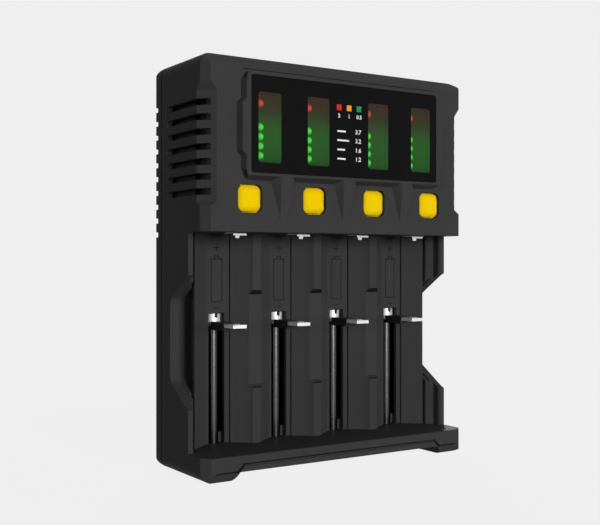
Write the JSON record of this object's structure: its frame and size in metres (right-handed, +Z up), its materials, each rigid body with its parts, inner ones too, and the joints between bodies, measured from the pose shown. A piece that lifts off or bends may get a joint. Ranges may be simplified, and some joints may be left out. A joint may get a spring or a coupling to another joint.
{
  "type": "battery charger",
  "caption": "Upright charger for round cells: sprung sliding contacts in open troughs, status windows and push buttons above.",
  "frame": {"origin": "middle of the footprint, on the surface the charger stands on", "axes": "+Z up, +Y towards the back, +X to the right of someone facing the display"},
  "size_m": [0.1232, 0.0452, 0.1562],
  "materials": {
    "case_plastic": "fine textured charcoal black",
    "panel_plastic": "smooth satin black",
    "window": "smoked, smooth",
    "legend": "printed colour squares",
    "red_light": "clear red lens",
    "green_light": "clear green lens",
    "button": "satin yellow",
    "black_plastic": "black",
    "nickel": "bright nickel plate",
    "chrome": "polished",
    "spring_steel": "bright wire",
    "switch_metal": "plain stamped",
    "brass": "plain stamped",
    "board": "green solder mask",
    "coil": "varnished copper",
    "capacitor": "printed sleeve",
    "aluminium": "extruded",
    "screw_steel": "plated",
    "rubber": "soft black"
  },
  "bodies": {
    "case": {"front_shell": "case_plastic", "back_cover": "case_plastic", "display_panel": "panel_plastic", "window_1": "window", "window_2": "window", "window_3": "window", "window_4": "window", "legend_marks": "legend", "red_lights": "red_light", "green_lights": "green_light", "switch_cases": "switch_metal", "guide_rod_1": "chrome", "guide_rod_2": "chrome", "guide_rod_3": "chrome", "guide_rod_4": "chrome", "slider_spring_1": "spring_steel", "slider_spring_2": "spring_steel", "slider_spring_3": "spring_steel", "slider_spring_4": "spring_steel", "top_contact_1": "nickel", "top_contact_2": "nickel", "top_contact_3": "nickel", "top_contact_4": "nickel", "rod_clips": "brass", "display_board": "board", "main_board": "board", "board_link": "black_plastic", "power_coils": "coil", "capacitors": "capacitor", "heat_sink": "aluminium", "power_inlet": "black_plastic", "case_screws": "screw_steel", "board_screws": "screw_steel", "back_feet": "rubber"},
    "slider_body_1": {"slider_1": "black_plastic", "slider_contact_1": "nickel"},
    "button_body_1": {"button_1": "button", "switch_plunger_1": "black_plastic"},
    "slider_body_2": {"slider_2": "black_plastic", "slider_contact_2": "nickel"},
    "button_body_2": {"button_2": "button", "switch_plunger_2": "black_plastic"},
    "slider_body_3": {"slider_3": "black_plastic", "slider_contact_3": "nickel"},
    "button_body_3": {"button_3": "button", "switch_plunger_3": "black_plastic"},
    "slider_body_4": {"slider_4": "black_plastic", "slider_contact_4": "nickel"},
    "button_body_4": {"button_4": "button", "switch_plunger_4": "black_plastic"}
  },
  "joints": [
    {"name": "slider_travel_1", "type": "slide", "parent": "case", "child": "slider_body_1", "axis": [0, 0, -1], "range_m": [0, 0.04], "stiffness_N_per_m": 40, "springref_m": -0.02, "deforming": ["slider_spring_1"]},
    {"name": "slider_travel_2", "type": "slide", "parent": "case", "child": "slider_body_2", "axis": [0, 0, -1], "range_m": [0, 0.04], "stiffness_N_per_m": 40, "springref_m": -0.02, "deforming": ["slider_spring_2"]},
    {"name": "slider_travel_3", "type": "slide", "parent": "case", "child": "slider_body_3", "axis": [0, 0, -1], "range_m": [0, 0.04], "stiffness_N_per_m": 40, "springref_m": -0.02, "deforming": ["slider_spring_3"]},
    {"name": "slider_travel_4", "type": "slide", "parent": "case", "child": "slider_body_4", "axis": [0, 0, -1], "range_m": [0, 0.04], "stiffness_N_per_m": 40, "springref_m": -0.02, "deforming": ["slider_spring_4"]},
    {"name": "button_press_1", "type": "slide", "parent": "case", "child": "button_body_1", "axis": [0, 1, 0], "range_m": [0, 0.0008], "stiffness_N_per_m": 800, "springref_m": -0.0004},
    {"name": "button_press_2", "type": "slide", "parent": "case", "child": "button_body_2", "axis": [0, 1, 0], "range_m": [0, 0.0008], "stiffness_N_per_m": 800, "springref_m": -0.0004},
    {"name": "button_press_3", "type": "slide", "parent": "case", "child": "button_body_3", "axis": [0, 1, 0], "range_m": [0, 0.0008], "stiffness_N_per_m": 800, "springref_m": -0.0004},
    {"name": "button_press_4", "type": "slide", "parent": "case", "child": "button_body_4", "axis": [0, 1, 0], "range_m": [0, 0.0008], "stiffness_N_per_m": 800, "springref_m": -0.0004}
  ]
}
